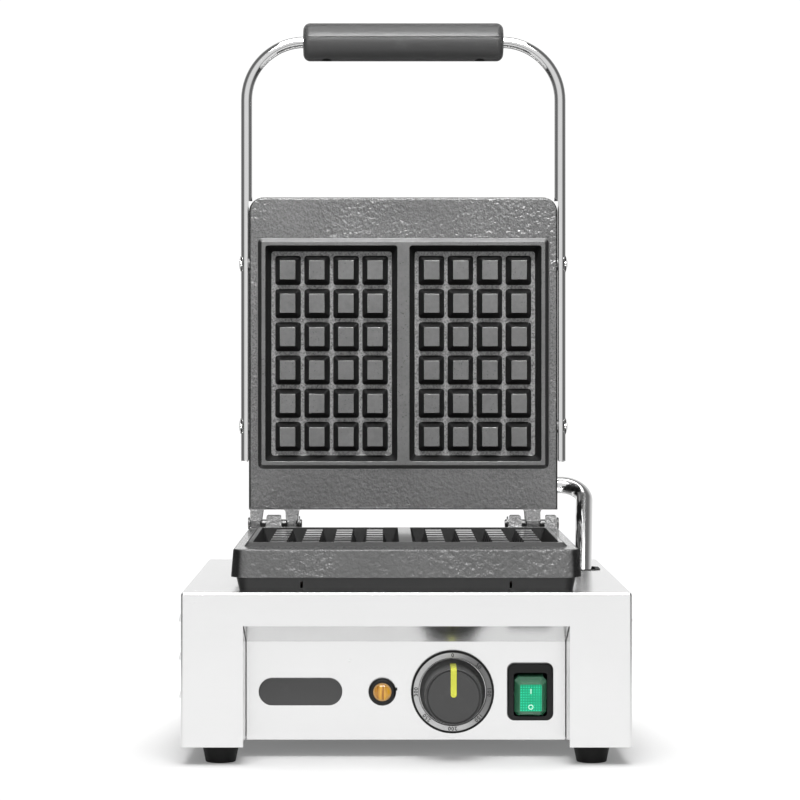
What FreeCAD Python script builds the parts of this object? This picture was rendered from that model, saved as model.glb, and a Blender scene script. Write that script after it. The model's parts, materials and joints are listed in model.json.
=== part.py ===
import FreeCAD, Part
import math
import os
import re
import Sketcher

doc = FreeCAD.newDocument("waffle_maker")

# Driving sizes in millimetres and degrees: name, value, what it measures
SIZES = [
    ("base_margin", 34.0, "housing beyond the casting, each side"),
    ("base_depth", 305.0, "housing, front to back"),
    ("base_height", 103.0, "housing, without its feet"),
    ("foot_height", 12.5, "rubber foot"),
    ("foot_top", 12.6, "radius of a foot at the housing"),
    ("foot_low", 10.2, "radius of a foot at the table"),
    ("foot_inset", 25.3, "feet from the side walls"),
    ("foot_y", 24.0, "feet from the front and back faces"),
    ("sheet", 1.2, "thickness of the sheet metal"),
    ("bend", 2.0, "outer bend radius of the housing"),
    ("post_width", 41.5, "front posts beside the control recess"),
    ("band_height", 22.5, "front band above the control recess"),
    ("recess_depth", 38.0, "control panel behind the front face"),
    ("hood_drop", 13.8, "fall of the hood from band to panel"),
    ("rear_inset", 24.0, "rear panel inside the rear edge"),
    ("control_z", 45.2, "height of the control row"),
    ("badge_x", -71.4, "badge from the middle"),
    ("lamp_x", -16.0, "pilot lamp from the middle"),
    ("knob_x", 31.6, "thermostat knob from the middle"),
    ("switch_x", 84.2, "rocker switch from the middle"),
    ("knob_radius", 22.2, "skirt of the knob"),
    ("knob_face", 18.8, "front rim of the knob"),
    ("knob_rise", 31.5, "knob face in front of the panel"),
    ("shaft_radius", 3.0, "thermostat shaft"),
    ("dial_band", 3.9, "dial ring, inside to outside"),
    ("dial_rim", 1.5, "rim round the dial ring"),
    ("lamp_radius", 9.4, "lamp bezel"),
    ("lamp_neck", 7.0, "lamp through the panel"),
    ("frame_wide", 31.5, "switch frame, across"),
    ("frame_tall", 39.3, "switch frame, upright"),
    ("rocker_wide", 21.6, "rocker, across"),
    ("rocker_tall", 27.0, "rocker, upright"),
    ("rocker_sink", 1.7, "rocker axle under the control row"),
    ("rocker_tilt", 7.0, "rocker to either side of level"),
    ("flat_sides", 6.2, "casting beyond its raised frame, each side"),
    ("flat_ends", 30.35, "casting beyond its raised frame, front and back"),
    ("plate_thick", 18.7, "casting without its raised frame"),
    ("plate_draft", 4.6, "flare of the outer wall in degrees"),
    ("plate_corner", 10.0, "corner radius on the handle side"),
    ("plate_inset", 9.4, "casting behind the front face"),
    ("hinge_setback", 10.7, "hinge axis behind the casting"),
    ("pan_height", 9.2, "skirt pan under the lower casting"),
    ("pan_draft", 13.0, "flare of the skirt wall in degrees"),
    ("parting_gap", 0.4, "air between the closed frames"),
    ("frame_rise", 2.6, "raised frame around the moulds"),
    ("frame_sides", 5.6, "raised frame beyond the moulds, each side"),
    ("frame_ends", 5.6, "raised frame beyond the moulds, front and back"),
    ("frame_slope", 48.0, "lean of the frame's outer wall in degrees"),
    ("divider", 9.0, "land between the two moulds"),
    ("mould_sides", 11.1, "mould opening beyond the stud tops, each side"),
    ("mould_ends", 11.4, "mould opening beyond the stud tops, front and back"),
    ("mould_depth", 14.0, "mould floor under the frame face"),
    ("mould_draft", 16.7, "slope of the mould wall in degrees"),
    ("mould_corner", 2.2, "rounding in the corners of a mould"),
    ("stud_wide", 11.5, "stud top, left to right"),
    ("stud_long", 14.2, "stud top, front to back"),
    ("stud_draft", 16.8, "slope of a stud wall in degrees"),
    ("stud_drop", 0.8, "stud top under the frame face"),
    ("pitch_x", 22.0, "stud pitch, left to right"),
    ("pitch_y", 25.2, "stud pitch, front to back"),
    ("lug_inset", 18.5, "middle of a hinge from the casting edge"),
    ("lug_root", 11.6, "single hinge lug at the casting"),
    ("lug_tip", 10.4, "single hinge lug at its tip"),
    ("ear_root", 9.8, "each ear of a hinge clevis at the casting"),
    ("ear_tip", 6.6, "each ear of a hinge clevis at its tip"),
    ("root_flare", 3.0, "hollow at the root of a lug"),
    ("ear_pitch", 27.0, "between the ears of a clevis"),
    ("knuckle", 6.5, "radius of a knuckle"),
    ("pin_radius", 3.0, "hinge pin"),
    ("running", 0.06, "radial play of a running fit"),
    ("lid_angle", 90.0, "how far the lid stands open"),
    ("cover_depth", 22.0, "lid cover behind the casting"),
    ("cover_inset", 4.0, "lid cover inside the casting"),
    ("bolt_side", 21.0, "plate bolts from the casting sides"),
    ("bolt_edge", 16.0, "plate bolts from the casting ends"),
    ("bolt_radius", 2.4, "shank of a bolt or long screw"),
    ("element_radius", 3.8, "tubular heating element"),
    ("element_side", 28.0, "outer legs of the element from the casting sides"),
    ("element_inner", 43.0, "inner legs of the element"),
    ("element_bend", 18.0, "bend of the element"),
    ("terminal_x", 16.0, "element ends from the middle"),
    ("clamp_front", 190.0, "front clamp bar from the hinge axis"),
    ("clamp_back", 110.0, "back clamp bar from the hinge axis"),
    ("arm_z", 12.0, "handle plane behind the parting plane"),
    ("rod_radius", 4.35, "handle rod"),
    ("rod_bend", 44.0, "bend of the handle rod"),
    ("arm_gap", 1.3, "flat of a handle arm outside the casting's face"),
    ("arm_core", 1.5, "rod axis outside the flat of an arm"),
    ("arm_start", 243.5, "start of the flat, from the hinge axis"),
    ("arm_end", 46.2, "end of an arm, from the hinge axis"),
    ("arm_screw_far", 196.0, "upper arm screw from the hinge axis"),
    ("arm_screw_near", 73.0, "lower arm screw from the hinge axis"),
    ("handle_reach", 364.0, "grip from the hinge axis"),
    ("grip_radius", 14.4, "grip"),
    ("grip_length", 151.4, "grip"),
    ("grip_screw_x", 58.0, "grip screws from the middle"),
    ("grip_round", 5.2, "rounding of the grip ends"),
    ("grip_tilt", 10.0, "grip screws turned towards the moulds"),
    ("conduit_radius", 6.35, "conduit tube, outside"),
    ("conduit_bore", 5.35, "conduit tube, inside"),
    ("conduit_bend", 17.0, "conduit elbow"),
    ("conduit_out", 22.7, "conduit elbow outside the casting"),
    ("conduit_lean", 6.5, "how far the leg leans in at the housing"),
    ("conduit_leg", 110.0, "conduit leg below the elbow"),
    ("pivot_up", 27.5, "conduit pivot above the hinge axis, lid open"),
    ("pivot_back", 30.6, "conduit pivot behind the hinge axis, lid open"),
    ("slot_back", 45.0, "conduit slot in front of the hinge axis"),
    ("slot_sides", 1.9, "free slot beside the conduit, each side"),
    ("slot_ends", 3.9, "free slot before and behind the leaning conduit"),
    ("gland_x", -95.0, "cable gland from the middle"),
    ("gland_neck", 8.0, "cable gland through the rear panel"),
    ("cord_radius", 4.0, "bore of the cable gland"),
    ("louvre_out", 4.5, "louvre in front of the side wall"),
    ("louvre_tall", 11.0, "louvre"),
    ("louvre_long", 120.0, "louvre"),
    ("louvre_pitch", 26.0, "between louvres"),
    ("louvre_low", 39.5, "lower edge of the lowest louvre"),
]
NAMES = {row[0] for row in SIZES}

# Sizes that follow from the driving ones
DERIVED = {
    "mould_width": "3*pitch_x+stud_wide+2*mould_sides",
    "mould_length": "5*pitch_y+stud_long+2*mould_ends",
    "frame_width": "2*mould_width+divider+2*frame_sides",
    "frame_length": "mould_length+2*frame_ends",
    "plate_width": "frame_width+2*flat_sides",
    "plate_depth": "frame_length+2*flat_ends",
    "base_width": "plate_width+2*base_margin",
    "foot_x": "half_wide-foot_inset",
    "lug_x": "plate_width/2-lug_inset",
    "bolt_x": "plate_width/2-bolt_side",
    "element_outer": "plate_width/2-element_side",
    "arm_flat": "plate_width/2+arm_gap",
    "rod_x": "arm_flat+arm_core",
    "conduit_x": "plate_width/2+conduit_out",
    "front_y": "-base_depth/2",
    "rear_y": "base_depth/2",
    "half_wide": "base_width/2",
    "base_top": "foot_height+base_height",
    "open_half": "half_wide-post_width",
    "open_top": "base_top-band_height",
    "panel_y": "front_y+recess_depth",
    "rear_panel_y": "rear_y-rear_inset",
    "hinge_y": "front_y+plate_inset+plate_depth+hinge_setback",
    "hinge_z": "base_top+pan_height+plate_thick+frame_rise+parting_gap/2",
    "face_z": "-parting_gap/2",
    "flat_z": "face_z-frame_rise",
    "back_z": "flat_z-plate_thick",
    "near_y": "-hinge_setback",
    "far_y": "-hinge_setback-plate_depth",
    "mid_y": "-hinge_setback-plate_depth/2",
    "mould_x": "(divider+mould_width)/2",
    "stud_run": "(mould_depth-stud_drop)*tan(stud_draft)",
    "element_z": "back_z-element_radius-0.1",
    "clamp_z": "element_z-element_radius-0.1",
    "dial_radius": "knob_radius+0.5+dial_band+dial_rim",
    "slot_wide": "2*conduit_radius+2*slot_sides",
    "slot_long": "2*conduit_radius*sqrt(leg_down^2+leg_back^2)/leg_down+2*slot_ends",
    "slot_x": "conduit_x-conduit_lean+0.8",
    "slot_y": "hinge_y-slot_back",
    "leg_back": "pivot_back+slot_back-0.5",
    "leg_down": "hinge_z+pivot_up-base_top",
    "bore": "bolt_radius+0.05",
    "bush_radius": "conduit_radius+1.15",
    "rocker_z": "control_z-rocker_sink",
    "gap_x": "rocker_wide/2+0.5",
    "gap_y": "rocker_tall/2+1.2",
}

sheet = doc.addObject("Spreadsheet::Sheet", "dims")
for row, (name, value, note) in enumerate(SIZES, 1):
    sheet.set(f"A{row}", note)
    sheet.set(f"B{row}", str(value))
    sheet.setAlias(f"B{row}", name)
doc.recompute()

WORD = re.compile(r"[a-z_][a-z_0-9]*")
FILES = []


def ex(text):
    """Spell a size formula out in sheet cells."""
    def swap(found):
        word = found.group(0)
        if word in DERIVED:
            return "(" + ex(DERIVED[word]) + ")"
        return "dims." + word if word in NAMES else word
    return WORD.sub(swap, str(text))


def val(text):
    """The present value of a size formula."""
    got = sheet.evalExpression(ex(text))
    return float(getattr(got, "Value", got))


# Frames: housing, lower casting and lid all stand on the same hinge axis
HOUSING = "placement(vector(0; 0; 0); rotation(vector(1; 0; 0); 0))"
LOWER = "placement(vector(0; hinge_y; hinge_z); rotation(vector(1; 0; 0); 0))"
LID = "placement(vector(0; hinge_y; hinge_z); rotation(vector(1; 0; 0); -lid_angle))"
TURNED_OVER = LID + " * placement(vector(0; 0; 0); rotation(vector(0; 1; 0); 180))"
WAYS = {
    "+z": "rotation(vector(1; 0; 0); 0)",
    "-z": "rotation(vector(1; 0; 0); 180)",
    "+x": "rotation(vector(0; 1; 0); 90)",
    "-x": "rotation(vector(0; 1; 0); -90)",
    "+y": "rotation(vector(1; 0; 0); -90)",
    "-y": "rotation(vector(1; 0; 0); 90)",
}


def place(thing, frame, spot=("0", "0", "0"), way="+z"):
    """Stand a thing at a spot of a frame with its own upward axis pointing one way."""
    turn = WAYS.get(way, way)
    thing.setExpression("Placement", ex(f"{frame} * placement(vector({'; '.join(spot)}); {turn})"))
    return thing


def keep(thing, label):
    """Name a finished piece and list it for writing."""
    thing.Label = label
    FILES.append(thing)
    return thing


def body(name, frame=HOUSING, spot=("0", "0", "0"), way="+z", keeps=True):
    made = doc.addObject("PartDesign::Body", name)
    place(made, frame, spot, way)
    return keep(made, name) if keeps else made


def plane_of(owner, role):
    return next(f for f in owner.Origin.OriginFeatures if f.Role == role)


def sketch_on(owner, role, lift="0"):
    made = owner.newObject("Sketcher::SketchObject", owner.Name + "_outline")
    made.AttachmentSupport = [(plane_of(owner, role), "")]
    made.MapMode = "FlatFace"
    made.setExpression("AttachmentOffset.Base.z", ex(lift))
    return made


def tie(sketch, kind, where, size):
    index = sketch.addConstraint(Sketcher.Constraint(kind, *where, val(size)))
    sketch.setExpression(f"Constraints[{index}]", ex(size))


def arc_between(start, end, radius, left):
    """The short arc from one point to another, turning left or right."""
    chord = end - start
    reach = math.sqrt(max(radius * radius - chord.Length ** 2 / 4, 0.0))
    side = FreeCAD.Vector(-chord.y, chord.x, 0).normalize() * (reach if left else -reach)
    centre = (start + end) * 0.5 + side
    first, last = (start, end) if left else (end, start)
    low = math.atan2(first.y - centre.y, first.x - centre.x)
    high = math.atan2(last.y - centre.y, last.x - centre.x)
    if high <= low:
        high += 2 * math.pi
    return Part.ArcOfCircle(Part.Circle(centre, FreeCAD.Vector(0, 0, 1), radius), low, high)


def outline(sketch, points, closed=True):
    """Join points by lines, or by an arc where a point has a radius, minus for a right turn."""
    spots = [FreeCAD.Vector(val(point[0]), val(point[1]), 0) for point in points]
    sides = len(points) if closed else len(points) - 1
    ends = []
    for i in range(sides):
        start, end = spots[i], spots[(i + 1) % len(points)]
        if len(points[i]) == 2:
            ends.append((sketch.addGeometry(Part.LineSegment(start, end), False), 1, 2))
            continue
        left = not points[i][2].startswith("-")
        radius = points[i][2].lstrip("-")
        made = sketch.addGeometry(arc_between(start, end, val(radius), left), False)
        ends.append((made, 1, 2) if left else (made, 2, 1))
        tie(sketch, "Radius", (made,), radius)
    for i in range(sides if closed else sides - 1):
        here, following = ends[i], ends[(i + 1) % sides]
        joined = (here[0], here[2], following[0], following[1])
        sketch.addConstraint(Sketcher.Constraint("Coincident", *joined))
    for i, point in enumerate(points):
        side, spot = (ends[i][0], ends[i][1]) if i < sides else (ends[-1][0], ends[-1][2])
        tie(sketch, "DistanceX", (-1, 1, side, spot), point[0])
        tie(sketch, "DistanceY", (-1, 1, side, spot), point[1])
    return sketch


def square(sketch, left, right, low, high):
    return outline(sketch, [(left, low), (right, low), (right, high), (left, high)])


def rounded(sketch, left, right, low, high, radius):
    inner_left, inner_right = f"({left})+({radius})", f"({right})-({radius})"
    inner_low, inner_high = f"({low})+({radius})", f"({high})-({radius})"
    return outline(sketch, [
        (inner_left, low), (inner_right, low, radius), (right, inner_low), (right, inner_high, radius),
        (inner_right, high), (inner_left, high, radius), (left, inner_high), (left, inner_low, radius),
    ])


def clipped(sketch, wide, tall, cut):
    """A rectangle about the middle with its corners cut off."""
    return outline(sketch, [
        (f"-({wide})+{cut}", f"-({tall})"), (f"{wide}-{cut}", f"-({tall})"),
        (wide, f"-({tall})+{cut}"), (wide, f"{tall}-{cut}"),
        (f"{wide}-{cut}", tall), (f"-({wide})+{cut}", tall),
        (f"-({wide})", f"{tall}-{cut}"), (f"-({wide})", f"-({tall})+{cut}"),
    ])


def circle(sketch, x, y, radius):
    spot = FreeCAD.Vector(val(x), val(y), 0)
    made = sketch.addGeometry(Part.Circle(spot, FreeCAD.Vector(0, 0, 1), val(radius)), False)
    tie(sketch, "Radius", (made,), radius)
    tie(sketch, "DistanceX", (-1, 1, made, 3), x)
    tie(sketch, "DistanceY", (-1, 1, made, 3), y)
    return sketch


def heading(here, there):
    """Which way one number lies from another: -1, 0 or 1."""
    return 0 if abs(there - here) < 0.01 else math.copysign(1, there - here)


def route(sketch, corners, radius):
    """An open path along the axes with every corner rounded."""
    spots = [(val(x), val(y)) for x, y in corners]
    points = [corners[0]]
    for i in range(1, len(corners) - 1):
        come = [heading(spots[i][k], spots[i - 1][k]) for k in (0, 1)]
        go = [heading(spots[i][k], spots[i + 1][k]) for k in (0, 1)]
        left = come[0] * go[1] - come[1] * go[0] < 0
        before = [f"({corners[i][k]})+({come[k]})*({radius})" for k in (0, 1)]
        after = [f"({corners[i][k]})+({go[k]})*({radius})" for k in (0, 1)]
        points += [(before[0], before[1], radius if left else "-" + radius), (after[0], after[1])]
    return outline(sketch, points + [corners[-1]], closed=False)


def feature(owner, kind, profile, **sizes):
    made = owner.newObject("PartDesign::" + kind, owner.Name + "_" + kind.lower())
    made.Profile = profile
    for name, size in sizes.items():
        made.setExpression(name, ex(size))
    return made


def pad(owner, profile, length, back=False, taper=None):
    made = feature(owner, "Pad", profile, Length=length)
    made.Reversed = back
    if taper:
        made.setExpression("TaperAngle", ex(taper))
    return made


def pocket(owner, profile, length, back=False, taper=None):
    made = feature(owner, "Pocket", profile, Length=length)
    made.Reversed = back
    if taper:
        made.setExpression("TaperAngle", ex(taper))
    return made


def soften(owner, base, pick, size, kind="Fillet"):
    """Round or bevel the edges whose bounds are picked."""
    doc.recompute()
    names = [f"Edge{i}" for i, edge in enumerate(base.Shape.Edges, 1) if pick(edge.BoundBox)]
    made = owner.newObject("PartDesign::" + kind, owner.Name + "_" + kind.lower())
    made.Base = (base, names)
    made.setExpression("Radius" if kind == "Fillet" else "Size", ex(size))
    return made


def near(a, b):
    return abs(a - b) < 0.02


def turned(name, points, frame=HOUSING, spot=("0", "0", "0"), way="+z", keeps=True):
    """A piece turned about its own upward axis from a profile of radius and height."""
    made = body(name, frame, spot, way, keeps)
    profile = outline(sketch_on(made, "XZ_Plane"), points)
    spun = made.newObject("PartDesign::Revolution", name + "_turned")
    spun.Profile = profile
    spun.ReferenceAxis = (profile, ["V_Axis"])
    spun.Angle = 360.0
    return made


def swept(owner, profile, path):
    made = owner.newObject("PartDesign::AdditivePipe", owner.Name + "_swept")
    made.Profile = profile
    made.Spine = (path, [f"Edge{i + 1}" for i in range(path.GeometryCount)])
    return made


def block(name, frame, low, high):
    """A plain block between two opposite corners."""
    made = doc.addObject("Part::Box", name)
    for prop, a, b in zip(("Length", "Width", "Height"), low, high):
        made.setExpression(prop, ex(f"({b})-({a})"))
    return place(made, frame, low)


def rod(name, frame, spot, way, radius, length):
    made = doc.addObject("Part::Cylinder", name)
    made.setExpression("Radius", ex(radius))
    made.setExpression("Height", ex(length))
    return place(made, frame, spot, way)


def hexagon(name, frame, spot, way, corner, height):
    made = doc.addObject("Part::Prism", name)
    made.Polygon = 6
    made.setExpression("Circumradius", ex(corner))
    made.setExpression("Height", ex(height))
    return place(made, frame, spot, way)


def union(name, things):
    made = doc.addObject("Part::MultiFuse", name)
    made.Shapes = things
    return made


def less(name, base, tools):
    made = doc.addObject("Part::Cut", name)
    made.Base = base
    made.Tool = tools[0] if len(tools) == 1 else union(name + "_tools", tools)
    return made


def group(label, things):
    made = doc.addObject("Part::Compound", label)
    made.Links = things
    return keep(made, label)


def screw(name, frame, spot, way, shank, length, head, rise):
    """A domed socket screw with the seat of its head at the spot and its head pointing one way."""
    here = f"{frame} * placement(vector({'; '.join(spot)}); {WAYS.get(way, way)})"
    stem = rod(name + "_stem", here, ("0", "0", f"-({length})"), "+z", shank, length)
    ball = f"((({head})^2+({rise})^2)/(2*({rise})))"
    cap = doc.addObject("Part::Sphere", name + "_cap")
    cap.setExpression("Radius", ex(ball))
    cap.setExpression("Angle1", ex(f"asin(1-({rise})/{ball})"))
    place(cap, here, ("0", "0", f"({rise})-{ball}"))
    socket = hexagon(name + "_socket", here, ("0", "0", f"({rise})*0.3"), "+z", f"({head})*0.45", rise)
    return less(name, union(name + "_solid", [stem, cap]), [socket])


def bolt(name, frame, spot, way, shank, length, corner, rise):
    """A hexagon bolt with the seat of its head at the spot and its head pointing one way."""
    here = f"{frame} * placement(vector({'; '.join(spot)}); {WAYS.get(way, way)})"
    stem = rod(name + "_stem", here, ("0", "0", f"-({length})"), "+z", shank, length)
    head = hexagon(name + "_head", here, ("0", "0", "0"), "+z", corner, rise)
    return union(name, [stem, head])


def both_sides(text):
    return [f"-({text})", f"({text})"]


# Housing: one folded sheet with a framed front, open underneath and behind
shell = body("base_shell")
footprint = sketch_on(shell, "XY_Plane", "foot_height")
square(footprint, "-half_wide", "half_wide", "front_y", "rear_y")
whole = pad(shell, footprint, "base_height")
floor_z, rear_at = val("foot_height"), val("rear_y")
soften(shell, whole, lambda b: b.ZMax > floor_z + 1 and not near(b.YMin, rear_at), "bend")
inside = sketch_on(shell, "XY_Plane", "base_top-sheet")
square(inside, "-half_wide+sheet", "half_wide-sheet", "front_y+sheet", "rear_y+1")
pocket(shell, inside, "base_height")
window = sketch_on(shell, "XZ_Plane", "-front_y+1")
square(window, "-open_half", "open_half", "foot_height-1", "open_top")
pocket(shell, window, "2*sheet+1")
returns = sketch_on(shell, "XZ_Plane", "-front_y-sheet/2")
square(returns, "-open_half-sheet", "-open_half", "foot_height", "open_top")
square(returns, "open_half", "open_half+sheet", "foot_height", "open_top")
pad(shell, returns, "recess_depth-sheet/2", back=True)

# Louvres of both side walls
hoods = sketch_on(shell, "XZ_Plane", "-front_y-50")
hollows = sketch_on(shell, "XZ_Plane", "-front_y-50-sheet")
for row in range(3):
    low = f"(louvre_low+{row}*louvre_pitch)"
    for sign, turn in (("", ""), ("-", "-")):
        wall = f"{sign}(half_wide-sheet/2)"
        lip = f"{sign}(half_wide+louvre_out)"
        inner_wall = f"{sign}(half_wide-2*sheet)"
        inner_lip = f"{sign}(half_wide+louvre_out-sheet)"
        outline(hoods, [(wall, low), (lip, low, turn + "louvre_tall*1.4"), (wall, low + "+louvre_tall")])
        outline(hollows, [
            (inner_wall, low + "-1"), (inner_lip, low + "-1"), (inner_lip, low, turn + "louvre_tall*1.4"),
            (inner_wall, low + "+louvre_tall-sheet*1.5"),
        ])
pad(shell, hoods, "louvre_long", back=True)
pocket(shell, hollows, "louvre_long-2*sheet")

# Openings in the top: conduit slot, plate bolts, clamp bolts, element ends, capillary
top_holes = sketch_on(shell, "XY_Plane", "base_top")
rounded(top_holes, "slot_x-slot_wide/2-2", "slot_x+slot_wide/2+2",
        "slot_y-slot_long/2-2", "slot_y+slot_long/2+2", "8")
for x in both_sides("bolt_x"):
    for y in ("far_y+bolt_edge", "near_y-bolt_edge"):
        circle(top_holes, x, "hinge_y+" + y, "bolt_radius+0.4")
for x in both_sides("terminal_x"):
    circle(top_holes, x, "hinge_y+near_y-20", "element_radius+2")
for y in ("clamp_front", "clamp_back"):
    circle(top_holes, "0", "hinge_y-" + y, "7")
circle(top_holes, "knob_x", "panel_y+14", "4")
pocket(shell, top_holes, "2*sheet")
side_holes = sketch_on(shell, "YZ_Plane", "half_wide+1")
for y in ("-70", "70"):
    circle(side_holes, y, "foot_height+8", "2")
pocket(shell, side_holes, "base_width+2")

# Control panel: folded sheet with the hood, the panel face and a foot flange
panel = body("control_panel")
fold = sketch_on(panel, "YZ_Plane", "-open_half+0.5")
outline(fold, [
    ("front_y+sheet", "open_top+12"), ("front_y+sheet", "open_top"), ("panel_y", "open_top-hood_drop"),
    ("panel_y", "foot_height"), ("panel_y+14", "foot_height"), ("panel_y+14", "foot_height+sheet"),
    ("panel_y+sheet", "foot_height+sheet"), ("panel_y+sheet", "open_top-hood_drop+sheet*0.7"),
    ("front_y+2*sheet", "open_top+sheet*0.7"), ("front_y+2*sheet", "open_top+12"),
])
pad(panel, fold, "2*open_half-1")
cutouts = sketch_on(panel, "XZ_Plane", "-panel_y+1")
circle(cutouts, "lamp_x", "control_z", "lamp_neck+0.1")
circle(cutouts, "knob_x", "control_z", "5")
for x in ("knob_x-14", "knob_x+14"):
    circle(cutouts, x, "control_z", "2.1")
square(cutouts, "switch_x-gap_x-1.1", "switch_x+gap_x+1.1", "rocker_z-gap_y-1.1", "rocker_z+gap_y+1.1")
pocket(panel, cutouts, "2*sheet+1")

# Rear panel: a channel set inside the rear edge
rear = body("rear_panel")
channel = sketch_on(rear, "XY_Plane", "foot_height+sheet+0.3")
edge = "half_wide-sheet-0.2"
outline(channel, [
    (f"-({edge})", "rear_y-6"), (f"-({edge})", "rear_panel_y"), (edge, "rear_panel_y"), (edge, "rear_y-6"),
    (edge + "-sheet", "rear_y-6"), (edge + "-sheet", "rear_panel_y+sheet"),
    (f"-({edge}-sheet)", "rear_panel_y+sheet"), (f"-({edge}-sheet)", "rear_y-6"),
])
pad(rear, channel, "base_height-2*sheet-0.5")
gland_hole = sketch_on(rear, "XZ_Plane", "-rear_panel_y+1")
circle(gland_hole, "gland_x", "control_z", "gland_neck+0.2")
pocket(rear, gland_hole, "2*sheet+1")

# Bottom plate with turned-up sides, vents and foot holes
bottom = body("bottom_plate")
post_edge = "open_half+sheet+0.4"
step_y = "panel_y+14.5"
tray = sketch_on(bottom, "XY_Plane", "foot_height")
tray_front = "front_y+sheet+0.4"
outline(tray, [
    (f"-({edge})", tray_front), (f"-({post_edge})", tray_front), (f"-({post_edge})", step_y),
    (post_edge, step_y), (post_edge, tray_front), (edge, tray_front),
    (edge, "rear_panel_y+6"), (f"-({edge})", "rear_panel_y+6"),
])
pad(bottom, tray, "sheet")
flanges = sketch_on(bottom, "XY_Plane", "foot_height")
for left, right in ((f"-({edge})", f"-({edge}-sheet)"), (edge + "-sheet", edge)):
    square(flanges, left, right, "front_y+sheet+6", "rear_panel_y-2")
pad(bottom, flanges, "16")
vents = sketch_on(bottom, "XY_Plane", "foot_height+sheet")
for column in range(7):
    x = f"({column - 3}*22)"
    rounded(vents, x + "-3", x + "+3", "-45", "15", "2.9")
for x in both_sides("foot_x"):
    for y in ("front_y+foot_y", "rear_y-foot_y-8"):
        circle(vents, x, y, "2.3")
pocket(bottom, vents, "2*sheet")
flange_holes = sketch_on(bottom, "YZ_Plane", "half_wide+1")
for y in ("-70", "70"):
    circle(flange_holes, y, "foot_height+8", "2")
pocket(bottom, flange_holes, "base_width+2")
case_screws = []
for way, x in (("+x", "half_wide"), ("-x", "-half_wide")):
    for y in ("-70", "70"):
        seat = (x, y, "foot_height+8")
        case_screws.append(screw("case_screw", HOUSING, seat, way, "1.9", "7", "3.9", "1.6"))
group("case_screws", case_screws)

# Feet and their screws
foot_screws = []
for side, x in (("left", "-foot_x"), ("right", "foot_x")):
    for end, y in (("front", "front_y+foot_y"), ("rear", "rear_y-foot_y-8")):
        foot = turned(f"foot_{end}_{side}", [
            ("6", "0"), ("foot_low-0.8", "0", "0.8"), ("foot_low", "0.8"), ("foot_top", "foot_height"),
            ("2.3", "foot_height"), ("2.3", "4.5"), ("6", "4.5"),
        ], HOUSING, (x, y, "0"))
        foot_screws.append(screw("foot_screw", HOUSING, (x, y, "4.5"), "-z", "2.1", "16", "4.6", "2.4"))
group("foot_screws", foot_screws)


# Cast plates: the same casting twice, the upper one turned over
def lug(owner, middle, root, tip, hollow=(True, True)):
    """One hinge lug: a tapered stem with hollow roots, cut to its side outline round the pin."""
    left, right = f"({middle})-({root})/2", f"({middle})+({root})/2"
    points = [(f"({middle})+({tip})/2", "knuckle"), (f"({middle})-({tip})/2", "knuckle")]
    if hollow[0]:
        points += [(left, "near_y+root_flare", "-root_flare"), (left + "-root_flare", "near_y")]
        left += "-root_flare"
    points.append((left, "near_y-1"))
    if hollow[1]:
        points.append((right + "+root_flare", "near_y-1"))
        points += [(right + "+root_flare", "near_y", "-root_flare"), (right, "near_y+root_flare")]
    else:
        points.append((right, "near_y-1"))
    stem = outline(sketch_on(owner, "XY_Plane", "flat_z-14"), points)
    pad(owner, stem, "knuckle-flat_z+14")
    waste = sketch_on(owner, "YZ_Plane", f"({middle})+({root})/2+root_flare+1")
    outline(waste, [
        ("near_y-1.5", "flat_z-0.2"), ("near_y+0.5", "flat_z-0.2"),
        ("-knuckle*cos(67.5)", "knuckle*sin(67.5)", "-knuckle"), ("knuckle", "0", "-knuckle"),
        ("knuckle*cos(67.5)", "-knuckle*sin(67.5)"), ("near_y+1.6", "flat_z-14"), ("near_y+1.6", "flat_z-15"),
        ("knuckle+2", "flat_z-15"), ("knuckle+2", "knuckle+2"), ("near_y-1.5", "knuckle+2"),
    ])
    pocket(owner, waste, f"({root})+2*root_flare+2")
    corners = sketch_on(owner, "XZ_Plane", "1-near_y")
    side = f"(({root})+({tip}))/4"
    for sign in ("+", "-"):
        outline(corners, [
            (f"({middle}){sign}({side}+2)", "knuckle-2.9"), (f"({middle}){sign}({side}-1.2)", "knuckle+0.3"),
            (f"({middle}){sign}({side}+2)", "knuckle+0.3"),
        ])
    return pocket(owner, corners, "2*knuckle-near_y")


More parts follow.
